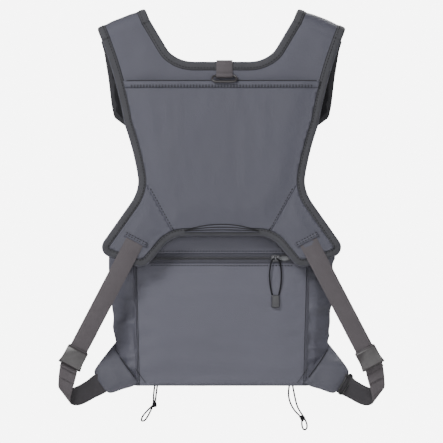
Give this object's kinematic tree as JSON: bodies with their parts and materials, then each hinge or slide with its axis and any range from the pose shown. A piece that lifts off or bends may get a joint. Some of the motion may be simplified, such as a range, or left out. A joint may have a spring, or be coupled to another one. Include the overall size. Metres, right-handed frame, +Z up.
{
  "type": "fishing vest",
  "caption": "Fishing vest with a padded back yoke and stash pocket, folded shoulder pads, side straps with ladder-lock adjusters and a zipped chest pack.",
  "frame": {"origin": "middle of the back yoke's neck edge, where the hang loop goes over it", "axes": "+X to the wearer's right, +Y towards the wearer's front, +Z up; the vest hangs by its loop"},
  "size_m": [0.4488, 0.1264, 0.5776],
  "materials": {
    "coated_fabric": "fine plain weave, coated, blue-grey",
    "pack_fabric": "fine plain weave, lighter blue-grey",
    "binding_tape": "ribbed grey tape",
    "webbing": "woven polyester, warm grey",
    "spacer_mesh": "open spacer mesh, near black",
    "foam": "soft foam, hidden",
    "zip_tape": "twill tape with a nylon coil",
    "lining_fabric": "light lining",
    "buckle_plastic": "moulded acetal, satin warm grey",
    "slider_metal": "dark painted zinc",
    "grip_plastic": "soft moulded grip, dark",
    "elastic_cord": "braided elastic, dark"
  },
  "bodies": {
    "back_yoke": {"hang_loop": "webbing", "hem_crescent": "coated_fabric", "lower_strap_left": "webbing", "lower_strap_right": "webbing", "neck_binding": "binding_tape", "shoulder_roll_left": "coated_fabric", "shoulder_roll_right": "coated_fabric", "stash_pocket_hem": "coated_fabric", "stash_pocket_panel": "coated_fabric", "upper_strap_left": "webbing", "upper_strap_right": "webbing", "yoke_edge_binding": "binding_tape", "yoke_foam": "foam", "yoke_mesh_lining": "spacer_mesh", "yoke_shell": "coated_fabric", "yoke_side_panel_left": "coated_fabric", "yoke_side_panel_right": "coated_fabric"},
    "neck_ring_body": {"neck_ring": "buckle_plastic"},
    "left_adjuster": {"side_adjuster_left": "buckle_plastic", "threaded_webbing_left": "webbing"},
    "right_adjuster": {"side_adjuster_right": "buckle_plastic", "threaded_webbing_right": "webbing"},
    "left_front_adjuster": {"front_adjuster_left": "buckle_plastic", "front_threaded_webbing_left": "webbing"},
    "right_front_adjuster": {"front_adjuster_right": "buckle_plastic", "front_threaded_webbing_right": "webbing"},
    "back_slider": {"back_zip_slider": "slider_metal"},
    "back_pull": {"back_pull_cord": "elastic_cord", "back_pull_grip": "grip_plastic"},
    "main_slider": {"main_zip_slider": "slider_metal"},
    "main_pull": {"main_zip_pull": "slider_metal"},
    "flap": {"pocket_flap": "pack_fabric"},
    "chest_pack": {"back_zip_tape": "zip_tape", "cord_knot_left": "elastic_cord", "cord_knot_right": "elastic_cord", "draw_cord_left": "elastic_cord", "draw_cord_right": "elastic_cord", "front_pocket": "pack_fabric", "front_webbing_left": "webbing", "front_webbing_right": "webbing", "main_zip_tape": "zip_tape", "pack_back_lining": "lining_fabric", "pack_back_panel": "pack_fabric", "pack_bottom": "pack_fabric", "pack_front_panel": "pack_fabric", "pack_gusset_left": "pack_fabric", "pack_gusset_right": "pack_fabric", "pack_strap_left": "webbing", "pack_strap_right": "webbing", "pack_top": "pack_fabric", "pad_binding_left": "binding_tape", "pad_binding_right": "binding_tape", "pad_mesh_left": "spacer_mesh", "pad_mesh_right": "spacer_mesh", "pad_shell_left": "coated_fabric", "pad_shell_right": "coated_fabric", "wing_left": "pack_fabric", "wing_right": "pack_fabric", "wing_strap_left": "webbing", "wing_strap_right": "webbing"}
  },
  "joints": [
    {"name": "shoulder_fold", "type": "hinge", "parent": "back_yoke", "child": "chest_pack", "pos_m": [0, 0.014, 0.0725], "axis": [1, 0, 0], "range_deg": [0, 25]},
    {"name": "neck_ring_swing", "type": "hinge", "parent": "back_yoke", "child": "neck_ring_body", "pos_m": [0.004, -0.0079, -0.0195], "axis": [-1, 0, 0], "range_deg": [0, 110]},
    {"name": "left_adjuster_tilt", "type": "hinge", "parent": "back_yoke", "child": "left_adjuster", "pos_m": [-0.19579, 0.0055, -0.39288], "axis": [-0.8846, 0, 0.4664], "range_deg": [0, 30]},
    {"name": "right_adjuster_tilt", "type": "hinge", "parent": "back_yoke", "child": "right_adjuster", "pos_m": [0.19579, 0.0055, -0.39288], "axis": [-0.8846, 0, -0.4664], "range_deg": [0, 30]},
    {"name": "left_front_adjuster_tilt", "type": "hinge", "parent": "chest_pack", "child": "left_front_adjuster", "pos_m": [-0.09184, 0.0332, -0.16291], "axis": [0.9703, 0, 0.2419], "range_deg": [0, 30]},
    {"name": "right_front_adjuster_tilt", "type": "hinge", "parent": "chest_pack", "child": "right_front_adjuster", "pos_m": [0.09184, 0.0332, -0.16291], "axis": [0.9703, 0, -0.2419], "range_deg": [0, 30]},
    {"name": "back_zip_slide", "type": "slide", "parent": "chest_pack", "child": "back_slider", "axis": [1, 0, 0], "range_m": [-0.165, 0.006]},
    {"name": "back_pull_swing", "type": "hinge", "parent": "back_slider", "child": "back_pull", "pos_m": [0.074, 0.0181, -0.2679], "axis": [-1, 0, 0], "range_deg": [0, 90]},
    {"name": "main_zip_slide", "type": "slide", "parent": "chest_pack", "child": "main_slider", "axis": [1, 0, 0], "range_m": [-0.045, 0.165]},
    {"name": "main_pull_swing", "type": "hinge", "parent": "main_slider", "child": "main_pull", "pos_m": [-0.06, 0.0545, -0.2221], "axis": [1, 0, 0], "range_deg": [0, 90]},
    {"name": "pocket_flap_swing", "type": "hinge", "parent": "chest_pack", "child": "flap", "pos_m": [0, 0.0882, -0.2888], "axis": [1, 0, 0], "range_deg": [0, 88]}
  ]
}
